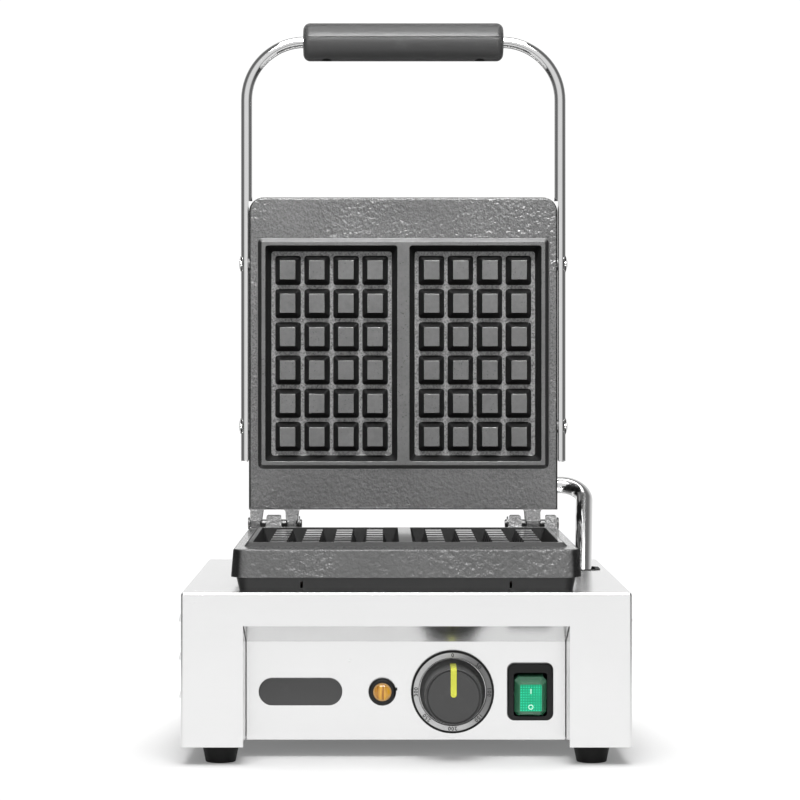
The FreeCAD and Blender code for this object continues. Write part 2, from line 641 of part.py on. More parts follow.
def casting(label, frame):
    plate = body(label, frame)
    rim = "plate_width/2"
    slab = sketch_on(plate, "XY_Plane", "flat_z")
    outline(slab, [
        (f"-{rim}", "near_y"), (f"-{rim}", "far_y+plate_corner", "plate_corner"),
        (f"-{rim}+plate_corner", "far_y"), (f"{rim}-plate_corner", "far_y", "plate_corner"),
        (rim, "far_y+plate_corner"), (rim, "near_y"),
    ])
    thick = pad(plate, slab, "plate_thick", back=True, taper="plate_draft")
    top = val("flat_z")
    soften(plate, thick, lambda b: near(b.ZMin, top) and near(b.ZMax, top), "1.5")
    raised = sketch_on(plate, "XY_Plane", "flat_z")
    rounded(raised, "-frame_width/2", "frame_width/2", "mid_y-frame_length/2", "mid_y+frame_length/2", "4")
    pad(plate, raised, "frame_rise", taper="-frame_slope")
    moulds = sketch_on(plate, "XY_Plane", "face_z")
    for left, right in (("-divider/2-mould_width", "-divider/2"), ("divider/2", "divider/2+mould_width")):
        square(moulds, left, right, "mid_y-mould_length/2", "mid_y+mould_length/2")
    hollows = pocket(plate, moulds, "mould_depth", taper="-mould_draft")
    face, floor = val("face_z"), val("face_z-mould_depth")
    soften(plate, hollows, lambda b: near(b.ZMin, floor) and near(b.ZMax, face), "mould_corner")
    first_x, first_y = "mould_x-1.5*pitch_x", "mid_y-2.5*pitch_y"
    rings = []
    for drop, spread, curve in (("mould_depth", "stud_run", "2.2"), ("stud_drop", "0", "0.5")):
        ring = sketch_on(plate, "XY_Plane", "face_z-" + drop)
        wide, long = f"(stud_wide/2+{spread})", f"(stud_long/2+{spread})"
        rounded(ring, f"{first_x}-{wide}", f"{first_x}+{wide}",
                f"{first_y}-{long}", f"{first_y}+{long}", curve)
        rings.append(ring)
    stud = plate.newObject("PartDesign::AdditiveLoft", label + "_stud")
    stud.Profile = rings[0]
    stud.Sections = [(rings[1], [""])]
    stud.Ruled = True
    plate.Tip = stud
    steps = []
    for axis, count, length in (("X_Axis", 4, "3*pitch_x"), ("Y_Axis", 6, "5*pitch_y")):
        step = plate.newObject("PartDesign::LinearPattern", label + "_row")
        step.Direction = (plane_of(plate, axis), [""])
        step.setExpression("Length", ex(length))
        step.Occurrences = count
        steps.append(step)
    flip = plate.newObject("PartDesign::Mirrored", label + "_flip")
    flip.MirrorPlane = (plane_of(plate, "YZ_Plane"), [""])
    studs = plate.newObject("PartDesign::MultiTransform", label + "_studs")
    studs.Originals = [stud]
    studs.Transformations = steps + [flip]
    plate.Tip = studs
    lug(plate, "-lug_x", "lug_root", "lug_tip")
    lug(plate, "lug_x-ear_pitch/2", "ear_root", "ear_tip")
    lug(plate, "lug_x+ear_pitch/2", "ear_root", "ear_tip", (True, False))
    pin_bore = circle(sketch_on(plate, "YZ_Plane", rim + "+5"), "0", "0", "pin_radius+running")
    pocket(plate, pin_bore, "plate_width+10")
    blind = sketch_on(plate, "XY_Plane", "back_z")
    for x in both_sides("bolt_x"):
        for y in ("far_y+bolt_edge", "near_y-bolt_edge"):
            circle(blind, x, y, "bore")
    for y in ("-clamp_front", "-clamp_back"):
        circle(blind, "0", y, "bore")
    pocket(plate, blind, "10", back=True)
    return plate


casting("lower_plate", LOWER)
upper = casting("upper_plate", TURNED_OVER)
for sign, back in (("", False), ("-", True)):
    bosses = sketch_on(upper, "YZ_Plane", f"{sign}(plate_width/2-2)")
    threads = sketch_on(upper, "YZ_Plane", f"{sign}(plate_width/2+5)")
    for y in ("-arm_screw_far", "-arm_screw_near"):
        circle(bosses, y, "-arm_z", "5")
        circle(threads, y, "-arm_z", "bore")
    pad(upper, bosses, "arm_gap+2", back=back)
    pocket(upper, threads, "16", back=back)

# Skirt pan between the housing and the lower casting, its walls flaring upwards
skirt = body("skirt_pan", LOWER)
pan_z = "(back_z-pan_height)"
flare = "pan_height*tan(pan_draft)"
pan_x, pan_front, pan_back = "(plate_width/2-1.9)", "(far_y+3.5)", "(near_y-3)"
walls = sketch_on(skirt, "XY_Plane", pan_z)
rounded(walls, f"-{pan_x}+{flare}", f"{pan_x}-{flare}", f"{pan_front}+{flare}", f"{pan_back}-{flare}", "6")
pad(skirt, walls, "pan_height", taper="pan_draft")
hollow = sketch_on(skirt, "XY_Plane", "back_z")
rounded(hollow, f"-{pan_x}+sheet", f"{pan_x}-sheet", f"{pan_front}+sheet", f"{pan_back}-sheet", "7")
pocket(skirt, hollow, "pan_height-sheet", taper="-pan_draft")
ledge = sketch_on(skirt, "XY_Plane", pan_z + "+2*sheet")
rounded(ledge, "-plate_width/2+12", "plate_width/2-12", "far_y+11.5", "near_y-11.5", "4")
pocket(skirt, ledge, "3*sheet")
notches = sketch_on(skirt, "XZ_Plane", "-far_y-3")
for x in ("-70", "70"):
    square(notches, x + "-0.8", x + "+0.8", pan_z + "+1.8", pan_z + "+6.2")
pocket(skirt, notches, "4")


# Heating elements with clamp bars and bolts, one set on each casting
def heater(prefix, frame):
    element = body(prefix + "_element", frame)
    start_y, front_y, loop_y = "near_y-20", "far_y+20", "near_y-66"
    path = sketch_on(element, "XY_Plane", "element_z")
    route(path, [
        ("-terminal_x", start_y), ("-element_outer", start_y), ("-element_outer", front_y),
        ("-element_inner", front_y), ("-element_inner", loop_y), ("element_inner", loop_y),
        ("element_inner", front_y), ("element_outer", front_y), ("element_outer", start_y),
        ("terminal_x", start_y),
    ], "element_bend")
    section = circle(sketch_on(element, "YZ_Plane", "-terminal_x"), start_y, "element_z", "element_radius")
    swept(element, section, path)
    ends = sketch_on(element, "XY_Plane", "element_z+element_radius*0.6")
    for x in both_sides("terminal_x"):
        circle(ends, x, start_y, "element_radius")
    pad(element, ends, "16", back=True)
    bars = []
    bolts = []
    for y in ("clamp_front", "clamp_back"):
        bar_low = ("-element_outer-10", f"-{y}-7", "clamp_z-sheet")
        bar = block(prefix + "_bar", frame, bar_low, ("element_outer+10", f"-{y}+7", "clamp_z"))
        hole = rod(prefix + "_bar_hole", frame, ("0", f"-{y}", "clamp_z-5"), "+z", "bore", "9")
        bars.append(less(prefix + "_bar_cut", bar, [hole]))
        seat = ("0", f"-{y}", "clamp_z-sheet")
        bolts.append(bolt(prefix + "_bolt", frame, seat, "-z", "bolt_radius", "17", "5", "3.2"))
    group(prefix + "_clamps", bars)
    group(prefix + "_clamp_bolts", bolts)


heater("lower", LOWER)
heater("upper", TURNED_OVER)

# Bolts that hold the lower casting down on the housing
plate_bolts = []
cover_screws = []
for x in both_sides("bolt_x"):
    for y in ("far_y+bolt_edge", "near_y-bolt_edge"):
        seat = (x, y, "back_z-pan_height-sheet")
        length = "pan_height+sheet+9"
        plate_bolts.append(bolt("plate_bolt", LOWER, seat, "-z", "bolt_radius", length, "4.8", "3.4"))
        back = (x, y, "-back_z+cover_depth")
        length = "cover_depth+9"
        cover_screws.append(screw("cover_screw", LID, back, "+z", "bolt_radius", length, "4.6", "2.4"))
group("plate_bolts", plate_bolts)

# Lid cover: a drawn pan on the back of the upper casting
cover = body("lid_cover", LID)
cover_x = "(plate_width/2-cover_inset)"
drawn = sketch_on(cover, "XY_Plane", "-back_z")
rounded(drawn, f"-{cover_x}", cover_x, "far_y+cover_inset", "near_y-cover_inset", "9")
pad(cover, drawn, "cover_depth")
hollow = sketch_on(cover, "XY_Plane", "-back_z")
rounded(hollow, f"-{cover_x}+sheet", f"{cover_x}-sheet",
        "far_y+cover_inset+sheet", "near_y-cover_inset-sheet", "9-sheet")
emptied = pocket(cover, hollow, "cover_depth-sheet", back=True)
cover_top, cover_roof = val("cover_depth-back_z"), val("cover_depth-back_z-sheet")
eased = soften(cover, emptied, lambda b: near(b.ZMin, cover_roof) and near(b.ZMax, cover_roof), "5-sheet")
soften(cover, eased, lambda b: near(b.ZMin, cover_top) and near(b.ZMax, cover_top), "5")
screw_holes = sketch_on(cover, "XY_Plane", "cover_depth-back_z+1")
for x in both_sides("bolt_x"):
    for y in ("far_y+bolt_edge", "near_y-bolt_edge"):
        circle(screw_holes, x, y, "bore")
pocket(cover, screw_holes, "2*sheet+1")
bush_hole = circle(sketch_on(cover, "YZ_Plane", cover_x + "+1"), "-pivot_up", "pivot_back", "bush_radius")
pocket(cover, bush_hole, "2*sheet+1")
group("cover_screws", cover_screws)

# Hinge pins with a head outside and a spring clip inside
clips = []
reach = "ear_pitch/2+ear_root/2-0.3"
for side, way, x in (("left", "+x", f"-(lug_x+{reach})"), ("right", "-x", f"lug_x+{reach}")):
    total = f"(2*({reach})+3)"
    neck = "pin_radius-0.7"
    turned("hinge_pin_" + side, [
        ("0", "-1.4"), ("pin_radius+1.2", "-1.4"), ("pin_radius+1.5", "-1.1"), ("pin_radius+1.5", "-0.1"),
        ("pin_radius", "-0.1"), ("pin_radius", total + "-2.6"), (neck, total + "-2.6"),
        (neck, total + "-1.5"), ("pin_radius", total + "-1.5"), ("pin_radius", total + "-0.4"),
        ("pin_radius-0.4", total), ("0", total),
    ], LOWER, (x, "0", "0"), way)
    start = f"{LOWER} * placement(vector({x}; 0; 0); {WAYS[way]})"
    ring = rod("clip_ring", start, ("0", "0", total + "-2.5"), "+z", "pin_radius+2.4", "0.9")
    hole = rod("clip_hole", start, ("0", "0", total + "-3"), "+z", "pin_radius-0.65", "2")
    mouth = block("clip_mouth", start, ("0", "-1.6", total + "-3"), ("7", "1.6", total + "-1"))
    clips.append(less("clip", ring, [hole, mouth]))
group("hinge_clips", clips)

# Handle: a round rod bent to a bow, its arms cut flat where they pass the casting
bow = body("handle_bow", LID, keeps=False)
bend_path = sketch_on(bow, "XY_Plane", "arm_z")
route(bend_path, [
    ("-rod_x", "-arm_end"), ("-rod_x", "-handle_reach"), ("rod_x", "-handle_reach"), ("rod_x", "-arm_end"),
], "rod_bend")
bend_ring = circle(sketch_on(bow, "XZ_Plane", "arm_end"), "-rod_x", "arm_z", "rod_radius")
swept(bow, bend_ring, bend_path)
flats = sketch_on(bow, "XY_Plane", "arm_z+rod_radius+1")
square(flats, "-arm_flat", "-arm_flat+2*rod_radius", "-arm_start", "-arm_end+1")
square(flats, "arm_flat-2*rod_radius", "arm_flat", "-arm_start", "-arm_end+1")
pocket(bow, flats, "2*rod_radius+2")
arm_out = "(rod_x+rod_radius)"
arm_holes = sketch_on(bow, "YZ_Plane", arm_out + "+2")
for y in ("-arm_screw_far", "-arm_screw_near"):
    circle(arm_holes, y, "arm_z", "bore+0.1")
drilled = pocket(bow, arm_holes, f"2*{arm_out}+4")
end_y = val("-arm_end")
soften(bow, drilled, lambda b: near(b.YMin, end_y) and near(b.YMax, end_y), "0.7", "Chamfer")

# Grip: two half shells round the bow with a fine groove where they part
grip_end = "(grip_length/2)"
blank = turned("grip_blank", [
    ("rod_radius+0.08", f"-{grip_end}"), ("grip_radius-grip_round", f"-{grip_end}", "grip_round"),
    ("grip_radius", f"-{grip_end}+grip_round"), ("grip_radius", f"{grip_end}-grip_round", "grip_round"),
    ("grip_radius-grip_round", grip_end), ("rod_radius+0.08", grip_end),
], LID, ("0", "-handle_reach", "arm_z"), "+x", keeps=False)
tilted = "rotation(vector(1; 0; 0); -90-grip_tilt)"
parting = f"{LID} * placement(vector(0; -handle_reach; arm_z); {tilted})"


def layer(name, low, high):
    """A slab across the whole grip between two heights over the parting plane."""
    side = "(grip_radius+2)"
    return block(name, parting, (f"-{grip_end}-1", f"-{side}", low), (f"{grip_end}+1", side, high))


near_side = layer("grip_near_side", "0", "grip_radius+2")
far_side = layer("grip_far_side", "-grip_radius-2", "0")
sheet_cut = layer("grip_slit", "-0.3", "0.3")
core = rod("grip_core", parting, (f"-{grip_end}-1", "0", "0"), "+x", "grip_radius-0.6", f"2*{grip_end}+2")
seam = less("grip_seam", sheet_cut, [core])
wells = []
sockets = []
eyes = []
grip_screws = []
for x in both_sides("grip_screw_x"):
    foot = f"{LID} * placement(vector({x}; -handle_reach; arm_z); {tilted})"
    wells.append(rod("grip_well", foot, ("0", "0", "8"), "+z", "3.9", "grip_radius"))
    wells.append(rod("grip_hole", foot, ("0", "0", "0"), "+z", "2.05", "grip_radius"))
    sockets.append(rod("grip_thread", foot, ("0", "0", "-9.5"), "+z", "2.05", "10"))
    eyes.append(rod("bow_eye", foot, ("0", "0", "-6"), "+z", "2.05", "12"))
    grip_screws.append(screw("grip_screw", foot, ("0", "0", "8"), "+z", "2", "16.5", "3.5", "2"))
keep(less("handle_rod", bow, eyes), "handle_rod")
keep(less("grip_lower", blank, [far_side, seam] + wells), "grip_lower")
keep(less("grip_upper", blank, [near_side, seam] + sockets), "grip_upper")
group("grip_screws", grip_screws)

# Domed screws that hold the arms to the casting
handle_screws = []
for side, way in (("", "+x"), ("-", "-x")):
    for y in ("-arm_screw_far", "-arm_screw_near"):
        seat = (side + arm_out, y, "arm_z")
        handle_screws.append(screw("handle_screw", LID, seat, way, "bolt_radius", "16", "5.9", "1.6"))
group("handle_screws", handle_screws)

# Conduit: swings in a bush of the lid cover and slides through a slot of the housing
lean = "(atan2(leg_down; leg_back)/(1 deg))"
elbow = ("conduit_x", "hinge_y+pivot_back", "hinge_z+pivot_up")
conduit_turn = f"rotation(vector(1; 0; 0); {lean})"
conduit = body("conduit_tube", HOUSING, elbow, conduit_turn)
tube_end = f"({cover_x}-sheet-8-conduit_x)"
slant = "(conduit_lean/sqrt(leg_down^2+leg_back^2))"
unit = f"sqrt({slant}^2+1)"
tangent = f"(conduit_bend*tan((90 deg+atan({slant}))/2))"
run = sketch_on(conduit, "XY_Plane")
outline(run, [
    (tube_end, "0"), (f"-{tangent}", "0", "-conduit_bend"),
    (f"-{tangent}*{slant}/{unit}", f"-{tangent}/{unit}"), (f"-conduit_leg*{slant}", "-conduit_leg"),
], closed=False)
tube_section = sketch_on(conduit, "YZ_Plane", tube_end)
circle(tube_section, "0", "0", "conduit_radius")
circle(tube_section, "0", "0", "conduit_bore")
swept(conduit, tube_section, run)
turned("conduit_collar", [
    ("conduit_radius+0.02", "0"), ("bush_radius+1.5", "0"), ("bush_radius+1.5", "2.4"),
    ("conduit_radius+0.02", "2.4"),
], HOUSING, (f"{cover_x}-sheet-6.4", elbow[1], elbow[2]), "+x")
turned("conduit_bush", [
    ("conduit_radius+running", "-sheet-3.6"), ("bush_radius-0.05", "-sheet-3.6"), ("bush_radius-0.05", "0"),
    ("bush_radius+1.1", "0"), ("bush_radius+1.1", "1.4"), ("bush_radius+0.5", "2"),
    ("conduit_radius+running", "2"),
], LID, (cover_x, "-pivot_up", "pivot_back"), "+x")

# Grommet round the conduit slot
grommet = body("conduit_grommet")


def slot_ring(lift, grow, height):
    ring = sketch_on(grommet, "XY_Plane", lift)
    for extra, radius in ((grow, f"6+{grow}"), ("0", "6")):
        rounded(ring, f"slot_x-slot_wide/2-{extra}", f"slot_x+slot_wide/2+{extra}",
                f"slot_y-slot_long/2-{extra}", f"slot_y+slot_long/2+{extra}", radius)
    pad(grommet, ring, height)


slot_ring("base_top-sheet-1.2", "1.95", "sheet+1.8")
slot_ring("base_top", "3", "0.6")
slot_ring("base_top-sheet-1.2", "3.2", "1.2")

# Thermostat: dial, knob with its pointer, shaft, body, screws, bulb
dial = ("knob_x", "panel_y", "control_z")
turned("dial_bezel", [
    ("dial_radius-dial_rim", "0"), ("dial_radius", "0"), ("dial_radius", "2.4"), ("dial_radius-0.6", "3"),
    ("dial_radius-dial_rim", "3"),
], HOUSING, dial, "-y")
turned("dial_ring", [
    ("knob_radius+0.5", "0"), ("dial_radius-dial_rim", "0"), ("dial_radius-dial_rim", "2.7"),
    ("knob_radius+0.9", "2.7"), ("knob_radius+0.5", "2.3"),
], HOUSING, dial, "-y")
knob = turned("thermostat_knob", [
    ("shaft_radius+0.02", "1"), ("7", "1"), ("7", "20"), ("15.6", "20"), ("knob_radius-4.4", "8"),
    ("knob_radius-1.8", "1"), ("knob_radius", "1"), ("knob_radius", "2.6", "-14"), ("knob_face+0.8", "10"),
    ("knob_face+0.2", "knob_rise-0.8", "0.7"), ("knob_face-0.4", "knob_rise-0.2"),
    ("knob_face-0.8", "knob_rise-0.2"), ("knob_face-0.8", "knob_rise-1.6"),
    ("knob_face-1.7", "knob_rise-1.6"), ("knob_face-1.7", "knob_rise-0.5"), ("0", "knob_rise-0.5"),
    ("0", "17"), ("shaft_radius+0.02", "17"),
], HOUSING, dial, "-y")
groove_low = [
    ("-0.4", "knob_rise-1.3"), ("knob_face-2.2", "knob_rise-1.3"), ("knob_face-0.8", "knob_rise-2.5"),
    ("knob_face-0.2", "9.4"),
]
groove = outline(sketch_on(knob, "YZ_Plane", "2"), groove_low + [("25", "9.4"), ("25", "40"), ("-0.4", "40")])
grooved = pocket(knob, groove, "4")


def inner_end(b):
    return near(b.YMin, -0.4) and near(b.YMax, -0.4) and near(b.XLength, 0) and b.ZLength > 0.3


soften(knob, grooved, inner_end, "1.8")
pointer = body("knob_pointer", HOUSING, dial, "-y")
bar = pad(pointer, outline(sketch_on(pointer, "YZ_Plane", "-2"), groove_low + [
    ("knob_face+1.2", "9.4"), ("knob_face+0.55", "knob_rise-1.7"), ("knob_face-1.3", "knob_rise+0.25"),
    ("-0.4", "knob_rise-0.3"),
]), "4")
soften(pointer, bar, inner_end, "1.8")
shaft_end = ("knob_x", "panel_y+18", "control_z")
keep(rod("thermostat_shaft", HOUSING, shaft_end, "-y", "shaft_radius", "34.8"), "thermostat_shaft")
case_low = ("knob_x-17", "panel_y+sheet", "control_z-17")
case = block("thermostat_case", HOUSING, case_low, ("knob_x+17", "panel_y+26", "control_z+17"))
bore_end = ("knob_x", "panel_y+19", "control_z")
borings = [rod("shaft_bore", HOUSING, bore_end, "-y", "shaft_radius+running", "30")]
thermostat_screws = []
for x in ("knob_x-14", "knob_x+14"):
    seat = (x, "panel_y", "control_z")
    borings.append(rod("screw_bore", HOUSING, (x, "panel_y+9", "control_z"), "-y", "1.9", "20"))
    thermostat_screws.append(screw("thermostat_screw", HOUSING, seat, "-y", "1.85", "8", "3.4", "1.4"))
keep(less("thermostat_body", case, borings), "thermostat_body")
group("thermostat_screws", thermostat_screws)
sensor = body("thermostat_bulb", LOWER)
sensor_y, sensor_z = "panel_y+14-hinge_y", "back_z-2.7"
line = sketch_on(sensor, "YZ_Plane", "knob_x")
route(line, [(sensor_y, "control_z+17-hinge_z"), (sensor_y, sensor_z), ("-150", sensor_z)], "10")
swept(sensor, circle(sketch_on(sensor, "XY_Plane", "control_z+17-hinge_z"), "knob_x", sensor_y, "1"), line)
pad(sensor, circle(sketch_on(sensor, "XZ_Plane", "168"), "knob_x", sensor_z, "2.6"), "72", back=True)

# Pilot lamp
lamp = ("lamp_x", "panel_y", "control_z")
ring = turned("lamp_bezel", [
    ("lamp_neck-0.7", "-16"), ("lamp_neck", "-16"), ("lamp_neck", "0"), ("lamp_radius", "0"),
    ("lamp_radius", "1.6", "2.4"), ("lamp_radius-2", "4"), ("lamp_neck-0.7", "4"),
], HOUSING, lamp, "-y")
pad(ring, square(sketch_on(ring, "XY_Plane"), "lamp_radius-1", "lamp_radius+0.7", "0.8", "2.6"), "1.8")
glass = "(lamp_neck-0.75)"
turned("lamp_lens", [
    ("0", "-10"), (glass, "-10"), (glass, "3.6", f"({glass}^2+2.4^2)/4.8"), ("0", "6"),
], HOUSING, lamp, "-y")
nut_spot = ("lamp_x", "panel_y+sheet", "control_z")
nut = hexagon("lamp_hexagon", HOUSING, nut_spot, "+y", "lamp_radius+0.8", "3.5")
nut_hole = rod("lamp_nut_hole", HOUSING, ("lamp_x", "panel_y", "control_z"), "+y", "lamp_neck+0.03", "8")
keep(less("lamp_nut", nut, [nut_hole]), "lamp_nut")

# Rocker switch: frame with a sleeve, body behind, rocker on its own axle, lit window
switch = ("switch_x", "panel_y", "control_z")
bezel = body("switch_bezel", HOUSING, switch, "-y")
half_frame, half_tall = "frame_wide/2", "frame_tall/2"
front = rounded(sketch_on(bezel, "XY_Plane"), f"-{half_frame}", half_frame, f"-{half_tall}", half_tall, "5")
raised = pad(bezel, front, "3.6", taper="-8")
soften(bezel, raised, lambda b: near(b.ZMin, 3.6) and near(b.ZMax, 3.6), "1.2")
sleeve = sketch_on(bezel, "XY_Plane")
rounded(sleeve, "-gap_x-1", "gap_x+1", "-rocker_sink-gap_y-1", "-rocker_sink+gap_y+1", "0.5")
pad(bezel, sleeve, "20", back=True)
mouth = sketch_on(bezel, "XY_Plane", "4")
rounded(mouth, "-gap_x", "gap_x", "-rocker_sink-gap_y", "-rocker_sink+gap_y", "2")
pocket(bezel, mouth, "30")
axle_hole = circle(sketch_on(bezel, "YZ_Plane", "rocker_wide"), "-rocker_sink", "-4", "1.5+running")
pocket(bezel, axle_hole, "2*rocker_wide")
pivot = ("switch_x", "panel_y+4", "rocker_z")
pressed = "rotation(vector(1; 0; 0); 90+rocker_tilt)"
rocker = body("switch_rocker", HOUSING, pivot, pressed)
wide, tall = "rocker_wide/2", "rocker_tall/2"
pad(rocker, clipped(sketch_on(rocker, "XY_Plane", "-3"), wide, tall, "2.6"), "11")
tiers = []
for lift, inset, cut in (("8", "0", "2.6"), ("11.2", "1.6", "2.2"), ("13", "3.2", "1.4")):
    tiers.append(clipped(sketch_on(rocker, "XY_Plane", lift), f"{wide}-{inset}", f"{tall}-{inset}", cut))
crown = rocker.newObject("PartDesign::AdditiveLoft", "switch_crown")
crown.Profile = tiers[0]
crown.Sections = tiers[1:]
crown.Ruled = True
pad(rocker, circle(sketch_on(rocker, "YZ_Plane", f"-{wide}-1.4"), "0", "0", "1.5"), "rocker_wide+2.8")
lens = body("switch_lens", HOUSING, pivot, pressed)
lit = sketch_on(lens, "XY_Plane", "13")
rounded(lit, f"-{wide}+3.5", f"{wide}-3.5", f"-{tall}+4.4", f"{tall}-4.4", "0.8")
pad(lens, lit, "0.7")
switch_low = ("switch_x-gap_x-0.8", "panel_y+20", "rocker_z-gap_y-0.8")
switch_high = ("switch_x+gap_x+0.8", "panel_y+34", "rocker_z+gap_y+0.8")
blades = [block("switch_block", HOUSING, switch_low, switch_high)]
for z in ("-10", "0", "10"):
    blade_low = ("switch_x-3.2", "panel_y+33", f"rocker_z+{z}-0.4")
    blade_high = ("switch_x+3.2", "panel_y+42", f"rocker_z+{z}+0.4")
    blades.append(block("switch_blade", HOUSING, blade_low, blade_high))
keep(union("switch_body", blades), "switch_body")

# Blank badge
badge = body("badge_plate", HOUSING, ("badge_x", "panel_y", "control_z"), "-y")
oval = pad(badge, rounded(sketch_on(badge, "XY_Plane"), "-28.3", "28.3", "-9.3", "9.3", "9.2"), "1.8")
soften(badge, oval, lambda b: near(b.ZMin, 1.8) and near(b.ZMax, 1.8), "0.8")

# Mains side: terminal block on the bottom plate, cable gland in the rear panel
floor_top = "foot_height+sheet"
clamp_low = ("gland_x-20", "rear_panel_y-62.5", floor_top)
clamp_high = ("gland_x+20", "rear_panel_y-40.5", floor_top + "+18")
clamp_body = block("terminal_case", HOUSING, clamp_low, clamp_high)
ports = []
for shift in ("-12", "0", "12"):
    port = ("gland_x+" + shift, "rear_panel_y-68.5", floor_top + "+9")
    ports.append(rod("terminal_port", HOUSING, port, "+y", "3", "40"))
keep(less("terminal_block", clamp_body, ports), "terminal_block")
gland = ("gland_x", "rear_panel_y+sheet", "control_z")
turned("cable_gland", [
    ("cord_radius", "-10"), ("gland_neck", "-10"), ("gland_neck", "0"), ("gland_neck+3", "0"),
    ("gland_neck+3", "5"), ("gland_neck+1.5", "5.4"), ("gland_neck+1.5", "9"),
    ("cord_radius+3.6", "15"), ("cord_radius+2.6", "17.5"), ("cord_radius", "17.5"),
], HOUSING, gland, "+y")
lock_spot = ("gland_x", "rear_panel_y-5", "control_z")
lock = hexagon("gland_hexagon", HOUSING, lock_spot, "+y", "gland_neck+4.5", "5")
lock_core = ("gland_x", "rear_panel_y-8", "control_z")
lock_hole = rod("gland_lock_hole", HOUSING, lock_core, "+y", "gland_neck+0.03", "20")
keep(less("gland_locknut", lock, [lock_hole]), "gland_locknut")

# Check every piece, then write it
doc.recompute()
for thing in doc.Objects:
    if {"Invalid", "Error"} & set(thing.State):
        raise RuntimeError("not built: " + thing.Name)
os.makedirs("parts", exist_ok=True)
for thing in FILES:
    shape = thing.Shape
    if shape.isNull() or not shape.isValid() or not shape.Solids:
        raise RuntimeError("bad shape: " + thing.Label)
    shape.exportStep(f"parts/{thing.Label}.step")
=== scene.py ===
import json
import math

import bpy
from mathutils import Matrix, Vector


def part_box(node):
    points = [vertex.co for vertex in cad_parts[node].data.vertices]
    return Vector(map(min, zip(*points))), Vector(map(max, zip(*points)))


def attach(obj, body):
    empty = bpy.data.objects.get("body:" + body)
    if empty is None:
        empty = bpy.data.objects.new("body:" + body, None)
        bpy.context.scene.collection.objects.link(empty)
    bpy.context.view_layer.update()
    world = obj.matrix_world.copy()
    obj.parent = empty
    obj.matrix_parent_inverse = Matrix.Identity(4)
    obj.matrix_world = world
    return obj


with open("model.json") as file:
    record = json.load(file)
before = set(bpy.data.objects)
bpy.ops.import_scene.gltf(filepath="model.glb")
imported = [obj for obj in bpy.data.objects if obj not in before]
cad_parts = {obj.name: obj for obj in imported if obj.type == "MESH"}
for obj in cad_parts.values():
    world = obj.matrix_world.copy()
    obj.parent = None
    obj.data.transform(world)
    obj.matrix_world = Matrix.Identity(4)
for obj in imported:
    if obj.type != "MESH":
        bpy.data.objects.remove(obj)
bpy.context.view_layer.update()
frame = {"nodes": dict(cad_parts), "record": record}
NODES = frame["nodes"]
MM = 0.001


# Shader values and finishes
class Value:
    """A value in a finish; arithmetic on it adds Math nodes."""

    def __init__(self, finish, socket):
        self.finish = finish
        self.socket = socket

    def maths(self, operation, *others):
        inputs = dict(enumerate((self, *others)))
        return self.finish.node("ShaderNodeMath", {"operation": operation}, inputs)

    def __add__(self, other):
        return self.maths("ADD", other)

    def __sub__(self, other):
        return self.maths("SUBTRACT", other)

    def __rsub__(self, other):
        return self.finish.node("ShaderNodeMath", {"operation": "SUBTRACT"}, {0: other, 1: self})

    def __mul__(self, other):
        return self.maths("MULTIPLY", other)

    def __pow__(self, other):
        return self.maths("POWER", other)

    def __abs__(self):
        return self.maths("ABSOLUTE")

    def between(self, low, high):
        """0 below one value, 1 above the other, smooth in the middle."""
        return self.finish.node("ShaderNodeMapRange", {"interpolation_type": "SMOOTHSTEP"},
                                {"Value": self, "From Min": low, "From Max": high})

    def past(self, line, blur=0.2 * MM):
        """0 before a line on the piece, 1 after it."""
        return self.between(line - blur, line + blur)

    __radd__ = __add__
    __rmul__ = __mul__


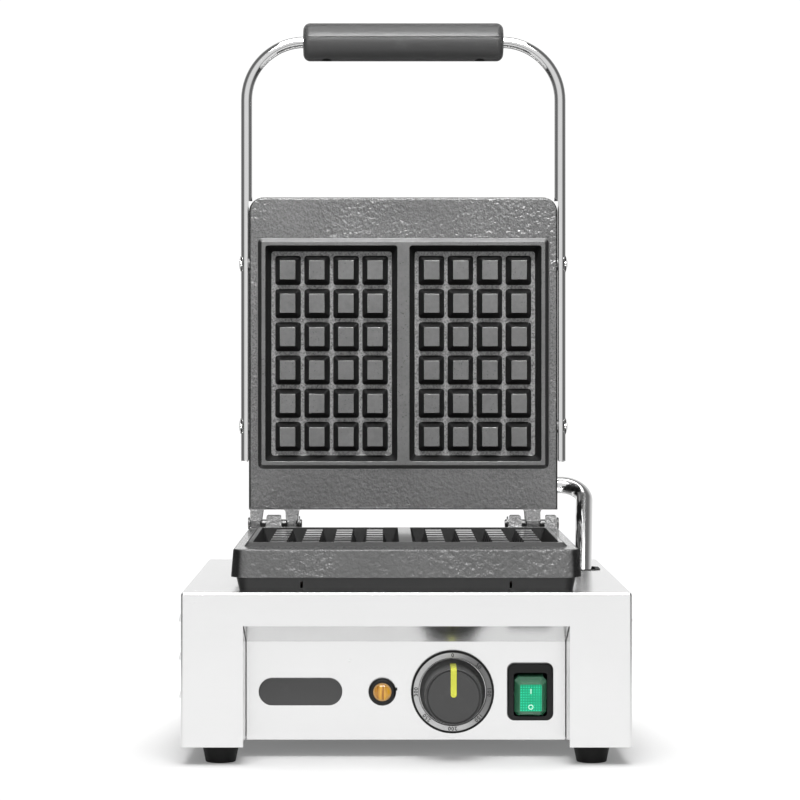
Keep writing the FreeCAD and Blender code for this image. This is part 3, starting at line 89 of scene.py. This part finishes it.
class Finish:
    """One procedural material on a Principled surface, or the light of a world."""

    def __init__(self, name, world=None):
        self.material = world or bpy.data.materials.new(name)
        self.material.use_nodes = True
        self.nodes = self.material.node_tree.nodes
        self.links = self.material.node_tree.links
        self.surface = self.nodes["Background" if world else "Principled BSDF"]

    def feed(self, socket, value):
        if isinstance(value, Value):
            self.links.new(value.socket, socket)
        else:
            socket.default_value = value

    def node(self, kind, settings=None, inputs=None, out=0):
        made = self.nodes.new(kind)
        for name, setting in (settings or {}).items():
            setattr(made, name, setting)
        for name, value in (inputs or {}).items():
            self.feed(made.inputs[name], value)
        return Value(self, made.outputs[out])

    def set(self, **sockets):
        for name, value in sockets.items():
            self.feed(self.surface.inputs[name.replace("_", " ")], value)
        return self

    def place(self, scale=(1, 1, 1), shift=(0, 0, 0)):
        """The point on the piece, stretched and shifted."""
        spot = self.node("ShaderNodeTexCoord", out=3)
        return self.node("ShaderNodeMapping", None, {"Vector": spot, "Scale": scale, "Location": shift})

    def centred(self, box):
        """The point on the piece, counted from the middle of a box."""
        return self.place(shift=tuple(-(low + high) / 2 for low, high in zip(*box)))

    def part(self, vector, axis):
        """One coordinate of a vector."""
        return self.node("ShaderNodeSeparateXYZ", None, {0: vector}, "XYZ".index(axis))

    def off_axis(self, spot):
        """Distance from the middle, seen from the front."""
        return (self.part(spot, "X") ** 2 + self.part(spot, "Z") ** 2) ** 0.5

    def facing(self, axis):
        """How far the surface looks along one of the piece's own axes."""
        return self.part(self.node("ShaderNodeTexCoord", out=1), axis)

    def noise(self, vector, size, detail=2.0, rough=0.5):
        """Cloudy noise with lumps of about the given size in metres, or in units of a stretched place."""
        return self.node("ShaderNodeTexNoise", None,
                         {"Vector": vector, "Scale": 1 / size, "Detail": detail, "Roughness": rough})

    def speck(self, vector, size):
        """Distance to the nearest of many scattered points."""
        return self.node("ShaderNodeTexVoronoi", None, {"Vector": vector, "Scale": 1 / size})

    def mix(self, amount, low, high):
        """A colour between two."""
        ends = [end if isinstance(end, Value) else (*end, 1) for end in (low, high)]
        return self.node("ShaderNodeMix", {"data_type": "RGBA"}, {0: amount, 6: ends[0], 7: ends[1]}, 2)

    def soft_edge(self, radius):
        """A normal that rounds sharp edges off."""
        return self.node("ShaderNodeBevel", {"samples": 6}, {"Radius": radius})

    def edge(self, radius):
        """1 on sharp edges, 0 away from them."""
        plain = self.node("ShaderNodeNewGeometry", out=1)
        inputs = {0: self.soft_edge(radius), 1: plain}
        same = self.node("ShaderNodeVectorMath", {"operation": "DOT_PRODUCT"}, inputs, 1)
        return (1 - same).between(0.02, 0.3)

    def bump(self, height, depth, strength=1.0, normal=None):
        inputs = {"Height": height, "Distance": depth, "Strength": strength}
        if normal is not None:
            inputs["Normal"] = normal
        return self.node("ShaderNodeBump", None, inputs)


def grey(level):
    return (level, level, level)


# Metal finishes
def sheet_steel(name, light, rough):
    """Bright stainless sheet, grained along X in front and on top and along Y on the sides."""
    steel = Finish(name)
    sideways = abs(steel.facing("X")).between(0.5, 0.6)
    grain_x = steel.noise(steel.place((12, 1500, 1500)), 1, 3, 0.6)
    grain_y = steel.noise(steel.place((1500, 12, 1500)), 1, 3, 0.6)
    grain = grain_x * (1 - sideways) + grain_y * sideways
    haze = steel.noise(steel.place(), 0.09, 3)
    smudge = steel.noise(steel.place(), 0.02, 4, 0.7).between(0.5, 0.8)
    tone = (haze - 0.5) * 0.5 + (grain - 0.5) * 0.35 + 0.5
    return steel.set(
        Base_Color=steel.mix(tone, grey(light * 0.93), grey(light)),
        Metallic=1.0,
        Roughness=rough + (grain - 0.5) * 0.12 + smudge * 0.05,
        Normal=steel.bump(grain, 0.00001, 0.35, steel.soft_edge(0.0005)),
    ).material


def plated(name, light, rough):
    """Polished plating with faint scratches."""
    chrome = Finish(name)
    hairline = chrome.noise(chrome.place((2500, 2500, 90)), 1, 2)
    film = chrome.noise(chrome.place(), 0.012, 3)
    return chrome.set(
        Base_Color=chrome.mix(film, grey(light * 0.95), grey(light)),
        Metallic=1.0,
        Roughness=rough + hairline.between(0.55, 0.8) * 0.06 + film * 0.03,
        Normal=chrome.bump(hairline, 0.000004, 0.3, chrome.soft_edge(0.0003)),
    ).material


def dull_metal(name, tint, rough):
    """Small hidden metal: zinc, galvanised sheet, heat-tinted sheath or copper."""
    metal = Finish(name)
    spangle = metal.speck(metal.place(), 0.004)
    cloud = metal.noise(metal.place(), 0.01, 4, 0.6)
    dark = tuple(v * 0.72 for v in tint)
    return metal.set(
        Base_Color=metal.mix(cloud * 0.7 + spangle * 0.4, dark, tint),
        Metallic=1.0,
        Roughness=rough + (cloud - 0.5) * 0.2,
        Normal=metal.bump(cloud, 0.00004, 0.5, metal.soft_edge(0.0003)),
    ).material


# Lines of a casting, from its middle and, for the floor, from the rim of the moulds
DIVIDER_EDGE = 4.5 * MM
MOULD_SIDE, MOULD_END = 104.4 * MM, 81.8 * MM
FRAME_SIDE, FRAME_END = 110.4 * MM, 87.5 * MM
MOULD_FLOOR = 13.2 * MM


def seasoned_iron(name, axis, face, middle):
    """Seasoned casting: grey pebbled flats under a glossy coat, edges paled partly as wear and partly as
    a painted highlight, and mould walls, lip slopes and sides painted near black as shade.

    The axis looks out of the moulds. The face is their rim on it, the middle is theirs on the other."""
    iron = Finish(name)
    spot = iron.place()
    across = abs(iron.part(spot, "X"))
    other = "Z" if axis == "Y" else "Y"
    along = abs(iron.part(spot, other) - middle)
    deep = abs(iron.part(spot, axis) - face)
    in_moulds = across.past(DIVIDER_EDGE) * (1 - across.past(MOULD_SIDE)) * (1 - along.past(MOULD_END))
    in_frame = (1 - across.past(FRAME_SIDE)) * (1 - along.past(FRAME_END))
    outward = abs(iron.facing(axis))
    # Painted shade: mould walls, the frame's lip slopes and the sides facing X are painted near black.
    # Lip slopes facing along the other axis stay grey, as lit ones.
    wall_shade = in_moulds * (1 - outward.between(0.45, 0.9))
    lit_lip = iron.facing(other).between(0.2, 0.5) * (1 - in_moulds)
    lip_shade = in_frame * (1 - outward.between(0.7, 0.95)) * (1 - lit_lip) * 0.75
    side_shade = abs(iron.facing("X")).between(0.25, 0.6)
    painted_shade = wall_shade.maths("MAXIMUM", side_shade).maths("MAXIMUM", lip_shade)
    floor = in_moulds * deep.past(MOULD_FLOOR, 0.4 * MM)
    lumps = iron.noise(spot, 0.0033, 2, 0.5)
    grain = iron.noise(spot, 0.0014, 2)
    stain = iron.noise(spot, 0.05, 4, 0.6)
    pit = iron.speck(spot, 0.006).between(0.10, 0.02)
    patch = iron.noise(spot, 0.055, 2).between(0.35, 0.62)
    # Edges paled in patches, partly as wear and partly as a painted highlight along them.
    worn_and_highlit_edges = iron.edge(0.0008) * iron.noise(spot, 0.01, 3).between(0.3, 0.65)
    flat = outward.between(0.9, 0.98)
    skin = (1 - in_frame * 0.85) * (0.6 + patch * 0.6) * (2.4 - flat * 0.9)
    tone = lumps * 0.3 + grain * 0.1 + stain * 0.6 + (1 - flat) * 0.35
    bare = iron.mix(tone, grey(0.038), grey(0.132))
    # Mould floors get a paler, grainier grey than the rest of the casting.
    pale_floor_tone = iron.mix(grain.between(0.3, 0.7), grey(0.085), grey(0.195))
    # The coat colour goes near black under the painted shade.
    coat = iron.mix(painted_shade, iron.mix(floor, bare, pale_floor_tone), grey(0.008))
    relief = (lumps * 0.9 + grain * 0.1 - pit * 0.25) * skin
    return iron.set(
        Base_Color=iron.mix(worn_and_highlit_edges * 0.8, coat, grey(0.36)),
        Metallic=0.35 - painted_shade * 0.35,
        Specular_IOR_Level=0.14,
        Roughness=0.36 - flat * 0.08 + painted_shade * 0.3 + (grain - 0.5) * skin * 0.15,
        Coat_Weight=flat * 0.7,
        Coat_Roughness=0.08,
        Normal=iron.bump(relief, 0.001, 0.85, iron.soft_edge(0.0007)),
    ).material


# Plastic, rubber and painted finishes
def moulded(name, tint, rough, texture=0.0008, depth=0.00003, coat=0.0, gloss=0.5, rim=None):
    """Moulded plastic or rubber with a fine skin, faint scuffs and, if given, edges of another tint."""
    plastic = Finish(name)
    skin = plastic.noise(plastic.place(), texture, 3, 0.6)
    scuff = plastic.noise(plastic.place(), 0.015, 5, 0.7).between(0.55, 0.75)
    pale = tuple(v * 1.35 + 0.004 for v in tint)
    colour = plastic.mix(scuff * 0.6 + skin * 0.3, tint, pale)
    if rim:
        colour = plastic.mix(plastic.edge(0.0007), colour, rim)
    return plastic.set(
        Base_Color=colour,
        Specular_IOR_Level=gloss,
        Roughness=rough + (skin - 0.5) * 0.1 + scuff * 0.08,
        Coat_Weight=coat,
        Normal=plastic.bump(skin, depth, 0.5, plastic.soft_edge(0.0004)),
    ).material


def painted_glow_green(name):
    """The rocker's window with its fine moulded grid, given a painted glow though the switch is off."""
    window = Finish(name)
    spot = window.centred(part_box("switch_lens"))
    pitch = 1.75 * MM
    waves = [(window.part(spot, axis) * (2 * math.pi / pitch)).maths("SINE") * 0.5 + 0.5 for axis in "XZ"]
    cell = waves[0] * waves[1]
    glow = window.noise(window.place(), 0.007, 2)
    tone = cell * 0.85 + glow * 0.35
    colour = window.mix(tone, (0.002, 0.15, 0.068), (0.018, 0.58, 0.31))
    # Painted glow: the window emits its own colour though its lamp is off.
    return window.set(
        Base_Color=colour,
        Emission_Color=colour,
        Emission_Strength=0.4,
        Specular_IOR_Level=0.25,
        Roughness=0.25,
        Normal=window.bump(cell, 0.00008, 0.6),
    ).material


def amber(name):
    """Clear amber, fluted inside, with a pale rim as a painted highlight and a faint painted glow, though
    the lamp is off.
    """
    lens = Finish(name)
    # The pale rim is a painted highlight.
    rim = lens.off_axis(lens.centred(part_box("lamp_lens"))).between(4.6 * MM, 6.0 * MM)
    flute = lens.noise(lens.place((500, 0, 60)), 1, 2)
    body = lens.mix(flute.between(0.35, 0.65), (0.30, 0.11, 0.006), (0.60, 0.31, 0.02))
    # Painted glow: the lens emits its own colour though the lamp is off.
    return lens.set(
        Base_Color=lens.mix(rim, body, (0.50, 0.30, 0.12)),
        Emission_Color=lens.mix(rim, body, (0.20, 0.10, 0.03)),
        Emission_Strength=0.16,
        Roughness=0.08,
        Coat_Weight=0.6,
        Normal=lens.bump(flute, 0.0002, 0.3),
    ).material


def spun_dial(name):
    """Spun aluminium ring with fine turning marks and a painted reflection, pale round most of the ring
    and darker towards the right.
    """
    ring = Finish(name)
    spot = ring.centred(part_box("dial_ring"))
    angle = ring.part(spot, "X").maths("ARCTAN2", ring.part(spot, "Z"))
    turning = ring.node("ShaderNodeCombineXYZ", None, {0: ring.off_axis(spot) * 9000, 1: angle * 1.5})
    marks = ring.noise(turning, 1, 2)
    # Painted reflection: the colour is pale round the ring and darkens towards the right.
    painted_reflection = (angle - math.radians(75)).maths("COSINE").between(0.9, -0.1)
    return ring.set(
        Base_Color=ring.mix(painted_reflection * 0.8 + marks * 0.2, grey(0.14), grey(0.56)),
        Metallic=1.0,
        Roughness=0.30 + (marks - 0.5) * 0.2,
        Normal=ring.bump(marks, 0.00002, 0.5, ring.soft_edge(0.0002)),
    ).material


FINISHES = {
    "housing_steel": sheet_steel("housing_steel", 0.81, 0.22),
    "floor_steel": dull_metal("floor_steel", (0.52, 0.53, 0.53), 0.45),
    "foot_rubber": moulded("foot_rubber", grey(0.006), 0.6, 0.0012, 0.00005, gloss=0.2),
    "zinc_screw": dull_metal("zinc_screw", (0.62, 0.62, 0.60), 0.3),
    "oiled_steel": dull_metal("oiled_steel", grey(0.10), 0.4),
    "black_sheet": moulded("black_sheet", grey(0.011), 0.42, 0.0015, 0.00006, gloss=0.35),
    "chrome": plated("chrome", 0.64, 0.07),
    "element_sheath": dull_metal("element_sheath", (0.22, 0.18, 0.16), 0.5),
    "grip_plastic": moulded("grip_plastic", grey(0.028), 0.42, 0.0006, 0.00002, gloss=0.27),
    "knob_plastic": moulded("knob_plastic", grey(0.032), 0.42, 0.0007, 0.00003),
    "pointer_yellow": moulded("pointer_yellow", (0.48, 0.495, 0.055), 0.45, gloss=0.3),
    "dial_silver": spun_dial("dial_silver"),
    "lamp_black": moulded("lamp_black", grey(0.007), 0.3, 0.001, 0.00002, gloss=0.3),
    "lamp_amber": amber("lamp_amber"),
    # The rocker's pale rim is a painted highlight along its edges.
    "rocker_green": moulded("rocker_green", (0.032, 0.14, 0.075), 0.2, 0.002, 0.00001, 0.5,
                            rim=(0.16, 0.36, 0.25)),
    "window_green": painted_glow_green("window_green"),
    "badge_black": moulded("badge_black", grey(0.034), 0.3, 0.0006, 0.00001, 0.2, rim=grey(0.006)),
    "terminal_ceramic": moulded("terminal_ceramic", (0.72, 0.70, 0.64), 0.6, 0.0006, 0.00003),
    "copper": dull_metal("copper", (0.70, 0.38, 0.24), 0.35),
}
DARK_FRAME = moulded("dark_frame", grey(0.006), 0.4, 0.0007, 0.00003, gloss=0.28)
OWN = {
    "switch_bezel": DARK_FRAME,
    "dial_bezel": DARK_FRAME,
    "lower_plate": seasoned_iron("seasoned_iron_lower", "Z", 146 * MM, -25.65 * MM),
    "upper_plate": seasoned_iron("seasoned_iron_upper", "Y", 102.7 * MM, 274.35 * MM),
}
PRINT_BLACK = moulded("print_black", grey(0.008), 0.5)
PRINT_MINT = moulded("print_mint", (0.50, 0.90, 0.72), 0.4)


def dress(piece, material):
    """Give a piece one material all over."""
    if piece.material_slots:
        piece.material_slots[0].material = material
    else:
        piece.data.materials.append(material)


for entry in frame["record"]["subparts"]:
    node = entry["node"]
    dress(NODES[node], OWN.get(node) or FINISHES[entry["material_slot"]])


# Modelling helpers
def start():
    """Begin a piece with nothing else selected."""
    if bpy.context.mode != "OBJECT":
        bpy.ops.object.mode_set(mode="OBJECT")
    bpy.ops.object.select_all(action="DESELECT")


def settle(name, matrix, body, material):
    """Name the active piece, put its place into its mesh and let it ride on a body."""
    piece = bpy.context.object
    piece.name = name
    piece.matrix_world = matrix
    bpy.ops.object.transform_apply(location=True, rotation=True, scale=True)
    dress(piece, material)
    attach(piece, body)


# Printed numbers on the dial ring, one digit at a time round the ring
ring_low, ring_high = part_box("dial_ring")
dial_middle = (ring_low + ring_high) / 2
PRINT_RADIUS = 24.75 * MM
PRINT_THICK = 0.03 * MM
PRINT_FACE = ring_low.y - PRINT_THICK
DIGIT_TALL = 3.7 * MM
DIGIT_WEIGHT = 0.08 * MM
DIGIT_STEP = 5.0
FACING_FRONT = Matrix.Rotation(math.radians(90), 4, "X")


def dial_number(text, bearing):
    for place, digit in enumerate(text):
        start()
        bpy.ops.object.text_add()
        print_curve = bpy.context.object.data
        print_curve.body = digit
        print_curve.size = DIGIT_TALL
        print_curve.align_x = "CENTER"
        print_curve.align_y = "CENTER"
        print_curve.extrude = PRINT_THICK
        print_curve.offset = DIGIT_WEIGHT
        print_curve.resolution_u = 4
        bpy.ops.object.convert(target="MESH")
        turn = math.radians(bearing + (place - (len(text) - 1) / 2) * DIGIT_STEP)
        centre = Matrix.Translation((dial_middle.x, PRINT_FACE, dial_middle.z))
        out = Matrix.Translation((0, 0, PRINT_RADIUS))
        matrix = centre @ Matrix.Rotation(turn, 4, "Y") @ out @ FACING_FRONT
        settle(f"dial_{text}_digit_{place + 1}", matrix, "base", PRINT_BLACK)


for step, text in enumerate(("0", "50", "100", "150", "200", "250", "300")):
    dial_number(text, 45 * step)

# Marks on the rocker window: a bar at the top and a ring near the bottom
ROCKER_PIVOT = Vector((84.2, -110.5, 43.5)) * MM
WINDOW = Matrix.Translation(ROCKER_PIVOT) @ Matrix.Rotation(math.radians(97), 4, "X")
WINDOW_FACE = 13.7 * MM
BAR_SIZE = (0.75 * MM, 3.4 * MM, 0.3 * MM)
BAR_ROUNDING = 0.12 * MM
RING_RADIUS, RING_THICK = 1.45 * MM, 0.36 * MM
BAR_HEIGHT, RING_HEIGHT = 4.7 * MM, -6.2 * MM


def on_window(height):
    return WINDOW @ Matrix.Translation((0, height, WINDOW_FACE))


start()
bpy.ops.mesh.primitive_cube_add(size=1)
bpy.ops.transform.resize(value=BAR_SIZE)
bpy.ops.object.mode_set(mode="EDIT")
bpy.ops.mesh.bevel(offset=BAR_ROUNDING, segments=2, affect="EDGES")
bpy.ops.object.mode_set(mode="OBJECT")
bpy.ops.object.transform_apply(location=True, rotation=True, scale=True)
settle("rocker_mark_bar", on_window(BAR_HEIGHT), "rocker", PRINT_MINT)
start()
bpy.ops.mesh.primitive_torus_add(
    major_radius=RING_RADIUS, minor_radius=RING_THICK, major_segments=40, minor_segments=10)
bpy.ops.transform.resize(value=(1, 1, 0.5))
bpy.ops.object.transform_apply(location=True, rotation=True, scale=True)
bpy.ops.object.shade_smooth()
settle("rocker_mark_ring", on_window(RING_HEIGHT), "rocker", PRINT_MINT)

# Floor
start()
bpy.ops.mesh.primitive_plane_add(size=1.3, location=(0, -0.1, 0))
bpy.ops.object.transform_apply(location=True, rotation=True, scale=True)
floor = bpy.context.object
floor.name = "studio_floor"
paper = Finish("studio_paper")
fibre = paper.noise(paper.place(), 0.3, 3)
paper.set(Base_Color=paper.mix(fibre, grey(0.56), grey(0.59)), Roughness=0.75,
          Emission_Color=(1, 1, 1, 1), Emission_Strength=0.15)
dress(floor, paper.material)

# Soft studio light: a white tent, dimmer at the sides and below, and white where the camera looks past
bpy.context.scene.world = bpy.data.worlds.new("studio")
tent = Finish("studio", bpy.context.scene.world)
way = tent.node("ShaderNodeTexCoord", out=0)
front = (tent.part(way, "Y") * -1).between(0.5, 0.9)
behind = tent.part(way, "Y").between(0.3, 0.8)
below = (tent.part(way, "Z") * -1).between(0.15, 0.5)
seen = tent.node("ShaderNodeLightPath", out=0)
level = (0.2 + front * 0.85 + behind * 0.75) * (1 - below * 0.8)
tent.set(Color=(1, 1, 1, 1), Strength=level * (1 - seen) + seen * 1.05)


# Softboxes in front and overhead, and a narrow one on the lid and its grip
def softbox(name, spot, aim, size, power, spread=180):
    lamp = bpy.data.lights.new(name, "AREA")
    lamp.shape = "RECTANGLE"
    lamp.size, lamp.size_y = size
    lamp.energy = power
    lamp.spread = math.radians(spread)
    holder = bpy.data.objects.new(name, lamp)
    bpy.context.scene.collection.objects.link(holder)
    holder.location = spot
    holder.rotation_euler = (Vector(aim) - Vector(spot)).to_track_quat("-Z", "Y").to_euler()
    holder.visible_camera = False


softbox("light_front", (0.0, -1.5, 2.0), (0, 0, 0.2), (1.8, 1.0), 50)
softbox("light_above", (0.0, -0.15, 2.6), (0, 0, 0.2), (2.0, 1.4), 38)
softbox("light_grip", (0.0, -0.9, 1.25), (0, 0.12, 0.42), (0.9, 0.3), 2.6, 36)

# Camera at the photo's viewing angle
lens_data = bpy.data.cameras.new("photo_camera")
lens_data.lens = 127.9
lens_data.sensor_width = 36
lens_data.sensor_fit = "HORIZONTAL"
lens_data.shift_x = 0.0238
lens_data.shift_y = -0.0575
camera = bpy.data.objects.new("photo_camera", lens_data)
bpy.context.scene.collection.objects.link(camera)
camera.location = (-0.0169, -2.0405, 0.2739)
camera.rotation_euler = (math.radians(90), 0, 0)
bpy.context.scene.camera = camera
bpy.context.scene.view_settings.view_transform = "Standard"
